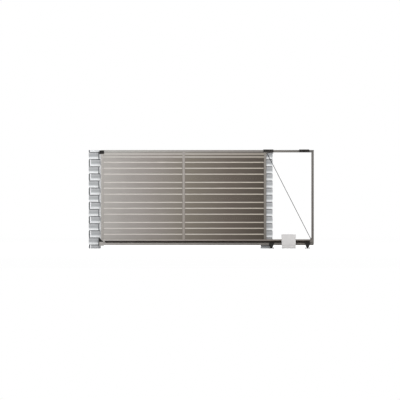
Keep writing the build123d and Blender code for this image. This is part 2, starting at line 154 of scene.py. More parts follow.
def addHexagon(mesh, origin, direction, acrossFlats, height):
    # nut or bolt head with chamfered corners, each turned its own way
    corner = acrossFlats / math.sqrt(3)
    shoulder = height - height * fastener["chamfer"]
    crown = corner * fastener["crown"]
    profile = [(0, 0), (corner, 0), (corner, shoulder), (crown, height), (0, height)]
    addLathe(mesh, origin, direction, profile, 6, random.random())


def addBolt(mesh, origin, direction, size, stud=0.0):
    # washer, hexagon and, where a stud stands out, its threaded end
    out = Vector(direction).normalized()
    wide = size * fastener["washer"]
    thick = size * fastener["washerHigh"]
    addLathe(mesh, origin, out, [(0, 0), (wide, 0), (wide, thick), (0, thick)], 20)
    start = Vector(origin) + out * thick
    addHexagon(mesh, start, out, size * fastener["head"], size * fastener["headHigh"])
    if stud > 0:
        foot = size * fastener["threadFoot"]
        thread = [(0, size * fastener["crest"])]
        turns = max(3, int(stud / (size * fastener["threadPitch"])))
        for i in range(turns):
            along = foot + stud * i / turns
            thread.append((size * fastener["root"], along))
            thread.append((size * fastener["crest"], along + stud / turns / 2))
        thread += [(size * fastener["tip"], foot + stud), (0, foot + stud)]
        addLathe(mesh, start, out, thread, 14)


def addSocketScrew(mesh, origin, direction, radius, high):
    # low domed head with a socket in its middle
    sunk = fastener["screwSunk"]
    profile = [(0, -sunk), (radius, -sunk)]
    profile += [(radius * wide, high * up) for wide, up in fastener["screwHead"]]
    addLathe(mesh, origin, direction, profile, 20)


# weld beads, as shares of the bead's radius
bead = dict(step=1.2, mean=0.85, ripple=0.15, spread=0.06, sides=6)


def addWeld(mesh, start, end, radius, lean):
    # rippled bead along a joint, leaning towards the given direction
    start = Vector(start)
    along = Vector(end) - start
    side = Vector(lean).normalized()
    other = along.normalized().cross(side)
    steps = max(4, int(along.length / (radius * bead["step"])))
    spread = bead["spread"]
    angles = [2 * math.pi * k / bead["sides"] for k in range(bead["sides"])]
    ways = [side * math.cos(angle) + other * math.sin(angle) for angle in angles]
    rings = []
    for i in range(steps + 1):
        ripple = bead["ripple"] * math.cos(math.pi * i)
        swell = radius * (bead["mean"] + ripple + random.uniform(-spread, spread))
        rings.append([start + along * i / steps + way * swell for way in ways])
    bridgeRings(mesh, rings)


def solidBoxes(name):
    # limits of each separate solid of a node, from left to right
    mesh = bmesh.new()
    mesh.from_mesh(nodes[name].data)
    bmesh.ops.remove_doubles(mesh, verts=mesh.verts, dist=0.00001)
    seen = set()
    limits = []
    for vert in mesh.verts:
        stack = [vert]
        spots = []
        while stack:
            current = stack.pop()
            if current not in seen:
                seen.add(current)
                spots.append(current.co)
                stack += [edge.other_vert(current) for edge in current.link_edges]
        if spots:
            low, high = [[pick(spot[i] for spot in spots) for i in range(3)] for pick in (min, max)]
            limits.append((Vector(low), Vector(high)))
    mesh.free()
    return sorted(limits, key=lambda box: (round(box[0].x, 3), round(box[0].y, 3), box[0].z))


def newMaterial(name):
    material = bpy.data.materials.new(name)
    material.use_nodes = True
    tree = material.node_tree
    return material, tree, tree.nodes["Principled BSDF"]


def feed(tree, node, values):
    # a socket is linked to the input, and anything else is set as its value
    for name, value in values.items():
        if hasattr(value, "is_linked"):
            tree.links.new(value, node.inputs[name])
        else:
            node.inputs[name].default_value = value
    return node


def addNode(tree, kind, values=None):
    return feed(tree, tree.nodes.new("ShaderNode" + kind), values or {})


def addRamp(tree, tonesWithPaintedLight, source):
    # colour ramp with a screen colour at each place
    ramp = addNode(tree, "ValToRGB", {"Fac": source})
    elements = ramp.color_ramp.elements
    places = list(tonesWithPaintedLight)
    elements[0].position = places[0]
    elements[1].position = places[-1]
    for place in places[1:-1]:
        elements.new(place)
    for element, place in zip(elements, places):
        element.color = display(tonesWithPaintedLight[place])
    return ramp.outputs["Color"]


def addNoise(tree, place, scale, detail, roughness=0.5):
    values = {"Vector": place, "Scale": scale, "Detail": detail, "Roughness": roughness}
    return addNode(tree, "TexNoise", values).outputs["Fac"]


def addMapRange(tree, source, low, high, newLow=0.0, newHigh=1.0):
    values = {"Value": source, "From Min": low, "From Max": high, "To Min": newLow, "To Max": newHigh}
    return addNode(tree, "MapRange", values).outputs["Result"]


def addMath(tree, operation, first, second=0.0):
    step = addNode(tree, "Math", {0: first, 1: second})
    step.operation = operation
    return step.outputs["Value"]


def addMix(tree, factor, first, second):
    mix = addNode(tree, "Mix")
    mix.data_type = "RGBA"
    return feed(tree, mix, {0: factor, 6: first, 7: second}).outputs[2]


def addBump(tree, height, look):
    values = {"Height": height, "Strength": look["bump"], "Distance": look["depth"]}
    return addNode(tree, "Bump", values).outputs["Normal"]


def placeAxis(tree, place, axis):
    return addNode(tree, "SeparateXYZ", {"Vector": place}).outputs[axis]


def paintedLightAlongLeaf(tree, place, look):
    # painted light and shade along the leaf: pale at the closing end, darkening to painted shade at the
    # run-back end
    along = addMapRange(tree, placeAxis(tree, place, "X"), beamLow.x, beamHigh.x)
    colour = addRamp(tree, look["tonesWithPaintedLight"], along)
    if "grooveHighlightTones" in look:
        # the floor of each pressed groove lies nearer to the leaf's middle plane, and gets a painted
        # highlight there
        offset = addMath(tree, "ADD", placeAxis(tree, place, "Y"), -leafMiddle)
        grooveHighlightShare = addMapRange(tree, addMath(tree, "ABSOLUTE", offset), *look["grooveDepth"], 1.0, 0.0)
        colour = addMix(tree, grooveHighlightShare, colour, addRamp(tree, look["grooveHighlightTones"], along))
    # painted shade that darkens the uprights towards their foot
    if "lowShadeTones" in look:
        upward = addMapRange(tree, placeAxis(tree, place, "Z"), lowerHigh.z, beamLow.z)
        colour = addMix(tree, upward, addRamp(tree, look["lowShadeTones"], along), colour)
    return colour


def makeFinish(name, look):
    # base tone, slow mottle and specks, over a fine grain that stands out a little
    material, tree, shader = newMaterial(name)
    place = addNode(tree, "TexCoord").outputs["Object"]
    if "tone" in look:
        colour = display(look["tone"])
    elif "courseLightAndShadeTones" in look:
        # painted light on each course: a painted highlight along its foot and painted shade under the
        # joint above it
        height = addMath(tree, "ADD", placeAxis(tree, place, "Z"), -firstJoint)
        share = addMath(tree, "FRACT", addMath(tree, "MULTIPLY", height, 1 / course))
        colour = addRamp(tree, look["courseLightAndShadeTones"], share)
    else:
        colour = paintedLightAlongLeaf(tree, place, look)
    patches = addNoise(tree, place, look["mottleSize"], look["mottleDetail"], look["mottleRough"])
    patches = addMapRange(tree, patches, *look["mottleSpan"], 0.0, look["mottle"])
    colour = addMix(tree, patches, colour, display(look["mottleTone"]))
    if "specks" in look:
        specks = addNoise(tree, place, look["speckSize"], look["speckDetail"])
        specks = addMapRange(tree, specks, *look["speckSpan"], 0.0, look["specks"])
        colour = addMix(tree, specks, colour, display(look["speckTone"]))
    grain = addNoise(tree, place, look["grain"], look["grainDetail"], look["grainRough"])
    rough = look["roughness"]
    if "glossSpread" in look:
        spread = look["glossSpread"]
        rough = addMapRange(tree, grain, *look["grainSpan"], rough - spread, rough + spread)
    feed(tree, shader, {
        "Base Color": colour, "Roughness": rough, "Metallic": look["metal"],
        "Specular IOR Level": look["shine"], "Normal": addBump(tree, grain, look),
    })
    return material


# what the looks of a kind share; a look names only what differs, with tones as seen on screen
sprayed = dict(
    mottle=0.12, mottleSize=2.3, mottleDetail=4.0, mottleRough=0.5, mottleSpan=(0.3, 0.7),
    grain=420.0, grainDetail=2.0, grainRough=0.5, grainSpan=(0.3, 0.7), roughness=0.5,
    glossSpread=0.05, metal=0.0, shine=0.3, bump=0.25, depth=0.0006,
)
plain = dict(
    sprayed, mottle=1.0, mottleSpan=(0.35, 0.65), grain=900.0, grainDetail=3.0,
    glossSpread=0.06, shine=0.2, bump=0.12, depth=0.0008,
)
stone = dict(
    mottle=0.5, mottleSize=9.0, mottleDetail=5.0, mottleRough=0.6, mottleSpan=(0.32, 0.68),
    specks=0.3, speckSize=210.0, speckDetail=2.0, speckSpan=(0.5, 0.66),
    grain=70.0, grainDetail=6.0, grainRough=0.65, roughness=0.92,
    metal=0.0, shine=0.2, bump=0.5, depth=0.004,
)
allLooks = dict(
    # the ramps of the leaf's looks run from pale to dark along the gate: painted light and shade over each
    # paint's own colour
    taupeTopBeamPaint=dict(
        sprayed, nodes=["leaf_top_beam"], mottleTone=(130, 127, 122),
        tonesWithPaintedLight={
            0.0: (173, 172, 168), 0.23: (156, 153, 148), 0.6: (126, 121, 116), 1.0: (84, 81, 77),
        },
    ),
    taupeLowerBeamPaint=dict(
        sprayed, nodes=["leaf_lower_beam"], mottleTone=(136, 130, 124),
        tonesWithPaintedLight={
            0.0: (184, 180, 176), 0.23: (168, 161, 154), 0.6: (137, 127, 119),
            0.95: (119, 112, 106), 0.97: (104, 99, 94),
        },
    ),
    taupeRailPaint=dict(
        sprayed, nodes=["running_rail", "rail_end_cap"], mottleTone=(120, 115, 110), roughness=0.48,
        tonesWithPaintedLight={
            0.0: (171, 166, 163), 0.23: (153, 149, 144), 0.6: (121, 117, 113),
            0.95: (99, 93, 87), 0.97: (88, 84, 79),
        },
    ),
    taupePostPaint=dict(
        sprayed, nodes=postNames + ["tension_rod_lugs"], mottle=0.1, mottleTone=(132, 127, 121),
        tonesWithPaintedLight={
            0.0: (172, 168, 164), 0.38: (155, 149, 144), 0.77: (127, 122, 116), 1.0: (96, 92, 88),
        },
        # painted shade towards the foot of the uprights
        lowShadeTones={
            0.0: (159, 155, 150), 0.38: (145, 138, 131), 0.77: (111, 106, 100), 1.0: (88, 83, 79),
        },
    ),
    brownPanelPaint=dict(
        sprayed,
        nodes=[f"infill_panel_{row}" for row in (1, 2, 3, 4, "top")],
        mottle=0.1, mottleTone=(104, 96, 82), grain=300.0, roughness=0.52, shine=0.25,
        tonesWithPaintedLight={
            0.0: (171, 167, 163), 0.13: (153, 148, 144), 0.23: (140, 134, 129),
            0.42: (112, 105, 95), 0.6: (86, 77, 69), 0.77: (57, 48, 38),
        },
        # painted highlight in the floors of the pressed grooves
        grooveHighlightTones={0.0: (206, 201, 197), 0.38: (197, 191, 183), 0.77: (186, 178, 166)},
        grooveDepth=(0.0172, 0.0196),
    ),
    paleStripPaint=dict(
        sprayed, nodes=["top_cover_strips"], mottle=0.1, mottleTone=(152, 146, 138),
        tonesWithPaintedLight={
            0.0: (184, 181, 176), 0.23: (171, 165, 160), 0.42: (161, 155, 148),
            0.6: (148, 141, 133), 0.77: (139, 132, 121),
        },
    ),
    blackRackNylon=dict(
        sprayed, nodes=["toothed_rack"],
        mottle=0.15, mottleTone=(38, 32, 28), grain=700.0, roughness=0.6, shine=0.08,
        tonesWithPaintedLight={0.0: (40, 34, 31), 0.45: (29, 22, 15), 1.0: (21, 14, 8)},
    ),
    blackBracketPaint=dict(
        plain, nodes=standNames + bracketNames + ["upper_catcher", "lower_catcher_gussets"],
        tone=(36, 34, 33), mottleTone=(46, 44, 42), mottleSize=14.0, grain=520.0,
        roughness=0.62, shine=0.12, bump=0.2,
    ),
    zincFastener=dict(
        plain, nodes=["rack_spacers", "end_roller_fork", "operator_base"],
        tone=(168, 168, 168), mottleTone=(192, 192, 194), mottleSize=60.0, grain=260.0,
        roughness=0.42, metal=0.55, shine=0.5,
    ),
    greyCradlePaint=dict(
        plain, nodes=["lower_catcher_cradle"],
        tone=(158, 155, 151), mottleTone=(166, 163, 159), mottleSize=22.0, grain=260.0,
        shine=0.3, bump=0.15,
    ),
    turnedRollerSteel=dict(
        plain, nodes=["carriage_bogies", "pinion"],
        tone=(150, 150, 152), mottleTone=(176, 176, 178), mottleSize=30.0,
        roughness=0.34, metal=0.85, shine=0.5, bump=0.08,
    ),
    whiteRollerNylon=dict(
        plain, nodes=["guide_rollers"],
        tone=(222, 220, 212), mottleTone=(212, 209, 200), mottleSize=35.0, grain=800.0,
        roughness=0.45, shine=0.4, bump=0.08,
    ),
    darkRodPaint=dict(
        plain, nodes=["tension_rod", "guide_carrier"],
        tone=(34, 34, 35), mottleTone=(44, 43, 44), mottleSize=40.0, grain=600.0,
        roughness=0.6, shine=0.15,
    ),
    paleHousingPlastic=dict(
        plain, nodes=["operator_housing"],
        tone=(204, 202, 201), mottleTone=(199, 197, 196), mottleSize=16.0, roughness=0.58, shine=0.25,
    ),
    housingSeamShade=dict(
        plain, tone=(120, 120, 119), mottleTone=(110, 110, 110), mottleSize=20.0, roughness=0.7, bump=0.1,
    ),
    greyPlugPlastic=dict(
        plain, nodes=["beam_end_caps"], tone=(70, 67, 64), mottleTone=(78, 75, 72), mottleSize=30.0,
        roughness=0.6, bump=0.2,
    ),
    blackBufferRubber=dict(
        plain, tone=(34, 34, 34), mottleTone=(44, 44, 44), mottleSize=40.0, grain=500.0,
        roughness=0.8, shine=0.15, bump=0.3,
    ),
    splitStoneFace=dict(
        stone, nodes=["left_pillar", "right_pillar"],
        # painted highlight along the foot of each course and painted shade under each joint
        courseLightAndShadeTones={
            0.0: (150, 152, 154), 0.06: (244, 245, 246), 0.26: (238, 240, 242),
            0.37: (194, 196, 198), 0.47: (172, 174, 176), 0.62: (168, 170, 172),
            0.78: (182, 183, 185), 0.89: (190, 191, 193), 0.93: (112, 114, 116),
            1.0: (88, 90, 92),
        },
        mottle=0.24, mottleTone=(186, 188, 190), speckTone=(140, 141, 143),
    ),
    # painted highlight and painted shade for the stones' edge strips and ends
    paintedHighlightStoneEdge=dict(
        stone, tone=(246, 247, 248), mottleTone=(249, 250, 251), specks=0.1, speckTone=(222, 224, 226),
    ),
    shadedStoneEdge=dict(
        stone, tone=(112, 114, 116), mottleTone=(128, 130, 132), speckTone=(98, 100, 102),
    ),
    recessedMortar=dict(stone, tone=(92, 94, 95), mottleTone=(106, 108, 109), speckTone=(80, 82, 84)),
    paleMortarBed=dict(
        stone, tone=(178, 179, 179), mottle=0.6, mottleTone=(192, 193, 194),
        specks=0.4, speckTone=(150, 151, 152),
    ),
)

for name, look in allLooks.items():
    finishes[name] = makeFinish(name, look)
    for node in look.get("nodes", []):
        nodes[node].data.materials.clear()
        nodes[node].data.materials.append(finishes[name])
print("finishes made and given to the nodes")


# split-faced slabs in courses round a mortar core
pillar = dict(
    half=0.15, height=2.46, slab=0.03, joint=0.008, mortarDepth=0.012, coreSoftness=0.003,
    bedMargin=0.001, chip=0.009, backStart=0.004, roughness=0.0045,
    bumps=[(16, 1.0), (37, 0.6), (90, 0.3)],  # scale and weight
    bumpSpan=(-0.75, 0.75), bodyDepth=0.018, edgeStrip=0.024, edgeCuts=[0.0, 0.004, 0.011, 0.024],
    cutsAlong=12, cutsUp=8, lowCutsUp=4, lowStone=0.1, lowestStone=0.06, seedSteps=(1.7, 2.3),
)
# after the face come a painted highlight and a painted shade for the stones' edges
faceTone, paintedHighlight, paintedShade = range(3)  # the finishes of a stone, in their order


def stoneCuts(low, high, inner):
    # cuts along one side of a stone, close together near its ends
    edge = pillar["edgeCuts"]
    if high - low < pillar["lowestStone"]:
        edge = edge[:-1]
    cuts = [low + spot for spot in edge]
    span = high - low - 2 * edge[-1]
    cuts += [low + edge[-1] + span * i / inner for i in range(1, inner)]
    return cuts + [high - spot for spot in reversed(edge)]


def chippedDepth(gaps, where):
    # how far a point of an outer face lies behind the pillar's plane
    chip = pillar["chip"]
    ease = max([0.0] + [1 - gap / chip for gap in gaps if gap < chip])
    bumps = sum(weight * noise.noise(where * scale) for scale, weight in pillar["bumps"])
    least, most = pillar["bumpSpan"]
    rough = pillar["roughness"] * min(1.0, max(0.0, (bumps - least) / (most - least)))
    return rough * (1 - ease) + pillar["mortarDepth"] * ease * ease


def paintedEdgeLightAt(x, low, high, openEnds):
    # a closed end gets a painted highlight strip on the left and a painted shade strip on the right
    strip = pillar["edgeStrip"]
    if "left" not in openEnds and x < low.x + strip:
        return paintedHighlight
    if "right" not in openEnds and x > high.x - strip:
        return paintedShade
    return faceTone


def addStone(mesh, low, high, openEnds, endPaintedLight, quarter, centreX, seed):
    # closed slab whose outer face looks towards -Y before its quarter turns
    cutsUp = pillar["cutsUp"] if high.z - low.z > pillar["lowStone"] else pillar["lowCutsUp"]
    xs = stoneCuts(low.x, high.x, pillar["cutsAlong"])
    ys = [low.y, low.y + pillar["bodyDepth"], high.y]
    zs = stoneCuts(low.z, high.z, cutsUp)
    last = (len(xs) - 1, len(ys) - 1, len(zs) - 1)
    turn = Matrix.Rotation(quarter * math.pi / 2, 3, "Z")
    shift = seed * pillar["seedSteps"][0]
    depthShift = quarter * pillar["seedSteps"][1]

    @cache
    def corner(i, j, k):
        x, y, z = xs[i], ys[j], zs[k]
        where = Vector((x + shift, y + depthShift, z + seed))
        level = [z - low.z, high.z - z]
        spot = Vector((x, y, z))
        if j == 0:
            sides = [] if "left" in openEnds else [x - low.x]
            sides += [] if "right" in openEnds else [high.x - x]
            spot.y += chippedDepth(level + sides, where)
        for end, edge, inward in (("left", low.x, 1), ("right", high.x, -1)):
            # the end is chipped like the face, and the cuts next to it move along with it
            share = 1 - abs(x - edge) / pillar["edgeStrip"]
            if end in openEnds and share > 0:
                where.x = edge + shift
                gaps = level + [high.y - y + pillar["backStart"]]
                spot.x += inward * share * chippedDepth(gaps, where)
        spot = turn @ spot
        return mesh.verts.new((spot.x + centreX, spot.y, spot.z))

    for axis in range(3):
        first, second = [other for other in range(3) if other != axis]
        for end in (0, last[axis]):
            for a in range(last[first]):
                for b in range(last[second]):
                    loop = []
                    for stepA, stepB in ((0, 0), (1, 0), (1, 1), (0, 1)):
                        index = [a + stepA, b + stepB]
                        index.insert(axis, end)
                        loop.append(corner(*index))
                    face = mesh.faces.new(loop)
                    # the outer face takes the painted edge strips, and the end faces take the painted
                    # light of their end
                    if axis == 1 and end == 0:
                        middle = (xs[a] + xs[a + 1]) / 2
                        face.material_index = paintedEdgeLightAt(middle, low, high, openEnds)
                    elif axis == 0:
                        face.material_index = endPaintedLight


def courseSlabs(bond):
    # for each side: start, end, ends that show on the next side, and the painted highlight or painted
    # shade on those ends
    half = pillar["half"]
    inset = pillar["slab"] + pillar["joint"] / 2
    if bond == "left corners":
        return [(-half, half - inset, ("left",), paintedHighlight)] * 4
    if bond == "right corners":
        return [(-half + inset, half, ("right",), paintedShade)] * 4
    through = (-half, half, ("left", "right"), paintedHighlight)
    between = (-half + inset, half - inset, (), paintedHighlight)
    return [through, between, through, between]


def buildPillar(side, bonds, footBond):
    node = side + "_pillar"
    low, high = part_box(node)
    centreX = (low.x + high.x) / 2
    levels = [0.0, firstJoint]
    while levels[-1] + course < pillar["height"]:
        levels.append(levels[-1] + course)
    levels.append(pillar["height"])
    stones = bmesh.new()
    gap = pillar["joint"] / 2
    for index in range(len(levels) - 1):
        fromTop = len(levels) - 2 - index
        foot = levels[index] + (gap if index > 0 else 0.0)
        head = levels[index + 1] - (gap if fromTop > 0 else 0.0)
        bond = bonds[fromTop % 2] if index > 0 else footBond
        for quarter, slab in enumerate(courseSlabs(bond)):
            start, end, openEnds, endPaintedLight = slab
            near = Vector((start, -pillar["half"], foot))
            far = Vector((end, -pillar["half"] + pillar["slab"], head))
            seed = index * 4 + quarter + centreX
            addStone(stones, near, far, openEnds, endPaintedLight, quarter, centreX, seed)
    looks = ["splitStoneFace", "paintedHighlightStoneEdge", "shadedStoneEdge"]
    finishPiece(side + "PillarStones", stones, "pillar_stone", looks, [node], 50)
    inner = pillar["half"] - pillar["mortarDepth"]
    soft = pillar["coreSoftness"]
    top = pillar["height"] - soft
    core = bmesh.new()
    addBox(core, (centreX - inner, -inner, 0.0), (centreX + inner, inner, top), soft)
    bed = top - soft - pillar["bedMargin"]
    for face in core.faces:
        # the top and its bevel are the pale bed
        face.material_index = int(face.calc_center_median().z > bed)
    looks = ["recessedMortar", "paleMortarBed"]
    finishPiece(side + "PillarCore", core, "pillar_stone", looks, [node])


buildPillar("left", ("right corners", "left corners"), "right corners")
buildPillar("right", ("right corners", "through"), "through")
print("pillars laid")


# frame of the leaf: rounded square tubes with weld beads at the joints
tubing = dict(
    wall=0.003, corner=0.0045, innerCorner=0.0006, cornerSteps=4, endSoftness=0.0004,
    weld=0.0032, weldSunk=0.001,
)


def roundedOutline(halfWide, halfHigh, corner, steps, hold=0.0006):
    # points round a rectangle with round corners, each corner held by a point on either side
    points = []
    for sideX, sideY, start in ((1, -1, -90), (1, 1, 0), (-1, 1, 90), (-1, -1, 180)):
        arc = []
        for i in range(steps + 1):
            angle = math.radians(start + 90 * i / steps)
            x = sideX * (halfWide - corner) + corner * math.cos(angle)
            y = sideY * (halfHigh - corner) + corner * math.sin(angle)
            arc.append(Vector((x, y)))
        turn = math.radians(start)
        before = Vector((math.sin(turn), -math.cos(turn)))
        after = Vector((-math.cos(turn), -math.sin(turn)))
        points += [arc[0] + before * hold] + arc + [arc[-1] + after * hold]
    return points


def placeOutline(outline, middle, axis, along):
    # sets a flat outline across the given axis
    first, second = [other for other in range(3) if other != axis]
    ring = []
    for point in outline:
        spot = [middle[first] + point.x, middle[second] + point.y]
        spot.insert(axis, along)
        ring.append(Vector(spot))
    return ring


def addTube(mesh, low, high, axis):
    # hollow tube within the given limits, open at both ends
    wall = tubing["wall"]
    soft = tubing["endSoftness"]
    steps = tubing["cornerSteps"]
    middle = (low + high) / 2
    first, second = [other for other in range(3) if other != axis]
    wide = (high[first] - low[first]) / 2
    tall = (high[second] - low[second]) / 2
    outer = roundedOutline(wide, tall, tubing["corner"], steps)
    trimmed = roundedOutline(wide - soft, tall - soft, tubing["corner"], steps)
    inner = roundedOutline(wide - wall, tall - wall, tubing["innerCorner"], steps)
    rings = []
    for outline, along in (
        (trimmed, low[axis]), (outer, low[axis] + soft), (outer, high[axis] - soft),
        (trimmed, high[axis]), (inner, high[axis]), (inner, low[axis]),
    ):
        rings.append(placeOutline(outline, middle, axis, along))
    bridgeRings(mesh, rings, joined=True)


def buildFrameTubes():
    beams = (
        ("leafTopBeam", "leaf_top_beam", "taupeTopBeamPaint"),
        ("leafLowerBeam", "leaf_lower_beam", "taupeLowerBeamPaint"),
    )
    for piece, name, paint in beams:
        beam = bmesh.new()
        addTube(beam, *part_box(name), 0)
        finishPiece(piece, beam, "frame_paint", [paint], [name], body="leaf")
    posts = bmesh.new()
    for name in postNames:
        addTube(posts, *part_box(name), 2)
    finishPiece("leafPosts", posts, "frame_paint", ["taupePostPaint"], postNames, body="leaf")


def buildFrameWelds():
    mesh = bmesh.new()
    inset = tubing["corner"]
    for name in postNames:
        low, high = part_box(name)
        for z, up in ((low.z, 1), (high.z, -1)):
            for side, out in ((low.y, -1), (high.y, 1)):
                y = side - out * tubing["weldSunk"]
                start = (low.x + inset, y, z)
                end = (high.x - inset, y, z)
                addWeld(mesh, start, end, tubing["weld"], (0, out, up))
    finishPiece("frameWelds", mesh, "frame_paint", ["taupePostPaint"], smooth=60, body="leaf")


stitches = dict(first=0.3, pitch=0.29, count=18, length=0.06, radius=0.0028, lift=0.0015)


def buildRailWelds():
    # short stitches between the running rail and the lower beam
    mesh = bmesh.new()
    z = railTop + stitches["lift"]
    for i in range(stitches["count"]):
        x = stitches["first"] + i * stitches["pitch"]
        for y, out in ((lowerLow.y, -1), (lowerHigh.y, 1)):
            end = (x + stitches["length"], y, z)
            addWeld(mesh, (x, y, z), end, stitches["radius"], (0, out, 1))
    finishPiece("railWelds", mesh, "frame_paint", ["taupeRailPaint"], smooth=60, body="leaf")


trim = dict(
    width=0.006, thickness=0.0016, soft=0.0005, rivets=9, rivetInset=0.06,
    rivet=[
        (0, -0.0004), (0.0042, -0.0004), (0.0042, 0.0004), (0.0034, 0.0015), (0.0016, 0.0021), (0, 0.0023),
    ],
)


def buildBayTrims():
    # thin strips that close the panel ends against the uprights
    mesh = bmesh.new()
    width = trim["width"]
    thick = trim["thickness"]
    low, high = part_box("infill_panel_1")
    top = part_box("top_cover_strips")[0].z
    uprights = [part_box(name) for name in postNames[:3]]
    for left, right in zip(uprights, uprights[1:]):
        for start, end in ((left[1].x, left[1].x + width), (right[0].x - width, right[0].x)):
            for near, far in ((low.y - thick, low.y), (high.y, high.y + thick)):
                addBox(mesh, (start, near, lowerHigh.z), (end, far, top), trim["soft"], 1)
    finishPiece("bayTrims", mesh, "panel_paint", ["brownPanelPaint"], body="leaf")


def buildStripRivets():
    mesh = bmesh.new()
    inset = trim["rivetInset"]
    gaps = trim["rivets"] - 1
    for low, high in solidBoxes("top_cover_strips"):
        y, out = (low.y, -1) if low.y < leafMiddle else (high.y, 1)
        for i in range(gaps + 1):
            x = low.x + inset + (high.x - low.x - 2 * inset) * i / gaps
            addLathe(mesh, (x, y, (low.z + high.z) / 2), (0, out, 0), trim["rivet"], 12)
    finishPiece("stripRivets", mesh, "frame_paint", ["paleStripPaint"], smooth=60, body="leaf")


buildFrameTubes()
buildFrameWelds()
buildRailWelds()
buildBayTrims()
buildStripRivets()
print("leaf dressed")


rackScrew = 0.008


def buildRackScrews():
    mesh = bmesh.new()
    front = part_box("toothed_rack")[0].y
    for low, high in solidBoxes("rack_spacers"):
        middle = (low + high) / 2
        addBolt(mesh, (middle.x, front, middle.z), (0, -1, 0), rackScrew)
    finishPiece("rackScrews", mesh, "zinc_steel", ["blackRackNylon"], body="leaf")


buildRackScrews()
print("rack screwed on")


# roller carriages that stand on the ground inside the running rail
carriage = dict(
    bolt=0.012, stud=0.016, boltSpread=0.048, footTop=0.01, weld=0.003, weldHeight=0.0105,
    welds=[(0.056, 0.018, 0), (0.009, 0.021, 1)],  # place across, half length, outward lean
    plateHalf=0.008, plateRise=0.017, plateEnd=0.016, plateSoft=0.002, axleSpread=0.055,
    # roller outlines: radius and distance, where a rim counts inwards and the rest back from the face
    hub=[(0, 0.001), (0.012, 0.001), (0.012, 0.003)],
    innerRim=[(0.005, 0.003), (0.003, 0.0045), (0, 0.007)],
    outerRim=[(0, 0.005), (0.002, 0.002), (0.006, 0.002), (0.008, 0.005)],
    sealSeat=[(0.019, 0.006), (0, 0.006)],
    seal=[(0.012, 0.0055), (0.019, 0.0055), (0.018, 0.004), (0.0125, 0.004), (0.012, 0.0055)],
    axleEnd=[(0, 0.007), (0.012, 0.007), (0.012, 0.001), (0.0105, 0), (0, 0)],
)
standPlaces = []  # middle of each stand along the gate
for name in standNames:
    low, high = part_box(name)
    standPlaces.append((low.x + high.x) / 2)


def buildCarriageAnchors():
    mesh = bmesh.new()
    spread = carriage["boltSpread"]
    for x in standPlaces:
        for dx in (-spread, spread):
            for dy in (-spread, spread):
                place = (x + dx, leafMiddle + dy, carriage["footTop"])
                addBolt(mesh, place, (0, 0, 1), carriage["bolt"], carriage["stud"])
    finishPiece("carriageAnchors", mesh, *zinc)


def buildCarriageWelds():
    mesh = bmesh.new()
    z = carriage["weldHeight"]
    for x in standPlaces:
        for across, half, lean in carriage["welds"]:
            for side in (-1, 1):
                y = leafMiddle + side * across
                way = (0, side * lean, 1)
                addWeld(mesh, (x - half, y, z), (x + half, y, z), carriage["weld"], way)
    finishPiece("carriageWelds", mesh, "black_steel", ["blackBracketPaint"], smooth=60)


def addRoller(rollers, seals, origin, way, radius, width):
    def backFromFace(name):
        return [(across, width - back) for across, back in carriage[name]]

    tread = carriage["hub"] + [(radius - inset, along) for inset, along in carriage["innerRim"]]
    tread += [(radius - inset, along) for inset, along in backFromFace("outerRim")]
    addLathe(rollers, origin, way, tread + backFromFace("sealSeat"), 40)
    addLathe(seals, origin, way, backFromFace("seal"), 32)
    addLathe(rollers, origin, way, backFromFace("axleEnd"), 24)


def buildBogies():
    plates = bmesh.new()
    rollers = bmesh.new()
    seals = bmesh.new()
    half = carriage["plateHalf"]
    rise = carriage["plateRise"]
    spread = carriage["axleSpread"]
    reach = spread + carriage["plateEnd"]
    for low, high in solidBoxes("carriage_bogies"):
        x = (low.x + high.x) / 2
        z = (low.z + high.z) / 2
        radius = (high.z - low.z) / 2
        width = (high.y - low.y) / 2 - half
        near = (x - reach, leafMiddle - half, z - rise)
        far = (x + reach, leafMiddle + half, z + rise)
        addBox(plates, near, far, carriage["plateSoft"])
        for dx in (-spread, spread):
            for side in (-1, 1):
                origin = (x + dx, leafMiddle + side * half, z)
                addRoller(rollers, seals, origin, (0, side, 0), radius, width)
    replaced = ["carriage_bogies"]
    finishPiece("bogiePlates", plates, *zinc, replaced)
    finishPiece("bogieRollers", rollers, "roller_steel", ["turnedRollerSteel"], replaced)
    finishPiece("bogieSeals", seals, "roller_steel", ["blackBufferRubber"], replaced)


buildCarriageAnchors()
buildCarriageWelds()
buildBogies()
print("carriages dressed")


guides = dict(
    plate=0.006, backPlate=0.004, bend=0.007, bendSteps=4, lipDrop=0.066,
    nut=0.018, nutSunk=0.0005, bolt=0.010, boltSunk=0.0015, shank=0.007,
    # half a roller: radius and height at its hub, then inset from the rim and height
    hub=[(0.007, 0.002), (0.0115, 0.002), (0.012, 0)],
    rim=[(0.003, 0), (0.001, 0.001), (0, 0.003)],
)


def bentChannel(low, high):
    # section of a bracket, from the foot of its front lip over the top to its back plate
    plate = guides["plate"]
    backPlate = guides["backPlate"]
    bend = guides["bend"]
    outer = [(low.y, high.z - guides["lipDrop"])]
    inner = [(low.y + plate, high.z - guides["lipDrop"])]
    for y, side, start, wall in ((low.y, 1, 180, plate), (high.y, -1, 90, backPlate)):
        for i in range(guides["bendSteps"] + 1):
            angle = math.radians(start - 90 * i / guides["bendSteps"])
            across = math.cos(angle)
            up = math.sin(angle)
            centreY = y + side * bend
            centreZ = high.z - bend
            outer.append((centreY + bend * across, centreZ + bend * up))
            inner.append((centreY + (bend - wall) * across, centreZ + (bend - plate) * up))
    outer.append((high.y, low.z))
    inner.append((high.y - backPlate, low.z))
    return outer + list(reversed(inner))


